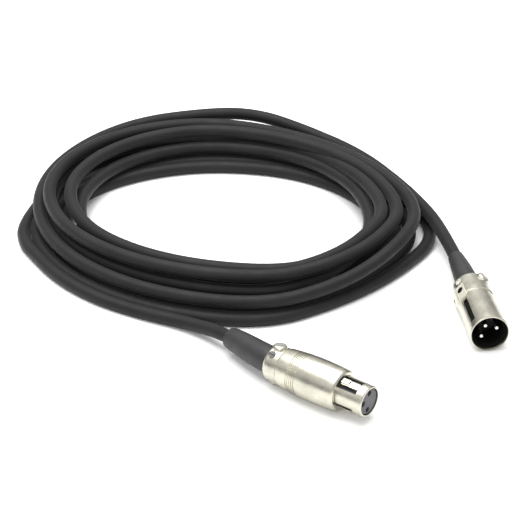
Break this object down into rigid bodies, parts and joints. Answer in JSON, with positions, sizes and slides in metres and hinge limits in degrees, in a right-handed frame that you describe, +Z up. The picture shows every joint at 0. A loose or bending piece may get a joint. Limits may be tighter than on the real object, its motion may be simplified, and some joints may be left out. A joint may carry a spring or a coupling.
{
  "type": "xlr cable coil",
  "caption": "Loose coil of black jacketed microphone cable, with a latching three-pole female connector and a three-pole male connector on short free ends.",
  "frame": {"origin": "middle of the whole outline, on the floor that the coil lies on", "axes": "+Z up from the floor; the male connector points along -Y; +X to the right when looking along +Y"},
  "size_m": [0.2398, 0.3068, 0.0245],
  "materials": {
    "cable_jacket": "matt black flexible jacket",
    "boot_rubber": "satin black moulded rubber",
    "nickel_plating": "satin nickel plating on a cast body",
    "screw_steel": "plated screw",
    "spring_steel": "plain spring steel",
    "female_insert_plastic": "dark grey moulded",
    "male_insert_plastic": "black moulded",
    "pad_rubber": "soft dark grey",
    "contact_plating": "silver plated",
    "core_red": "core insulation",
    "core_white": "core insulation",
    "drain_copper": "bare copper strands"
  },
  "bodies": {
    "cable": {"cable_coil": "cable_jacket", "cable_lead_female": "cable_jacket", "cable_lead_male": "cable_jacket", "female_boot": "boot_rubber", "female_clamp": "nickel_plating", "female_clamp_screws": "screw_steel", "female_contact_1": "contact_plating", "female_contact_2": "contact_plating", "female_contact_3": "contact_plating", "female_core_live": "core_red", "female_core_return": "core_white", "female_face_pad": "pad_rubber", "female_insert": "female_insert_plastic", "female_insert_screw": "screw_steel", "female_latch_spring": "spring_steel", "female_nose": "nickel_plating", "female_shell": "nickel_plating", "female_shield_drain": "drain_copper", "male_boot": "boot_rubber", "male_clamp": "nickel_plating", "male_clamp_screws": "screw_steel", "male_core_live": "core_red", "male_core_return": "core_white", "male_insert": "male_insert_plastic", "male_insert_screw": "screw_steel", "male_pin_1": "contact_plating", "male_pin_2": "contact_plating", "male_pin_3": "contact_plating", "male_shell": "nickel_plating", "male_shield_drain": "drain_copper"},
    "latch": {"female_latch": "nickel_plating"}
  },
  "joints": [
    {"name": "female_latch_press", "type": "hinge", "parent": "cable", "child": "latch", "pos_m": [0.03355, -0.14628, 0.01814], "axis": [-0.6886, -0.6673, -0.284], "range_deg": [0, 4], "stiffness_Nm_per_rad": 0.6, "springref_deg": -2.86}
  ]
}
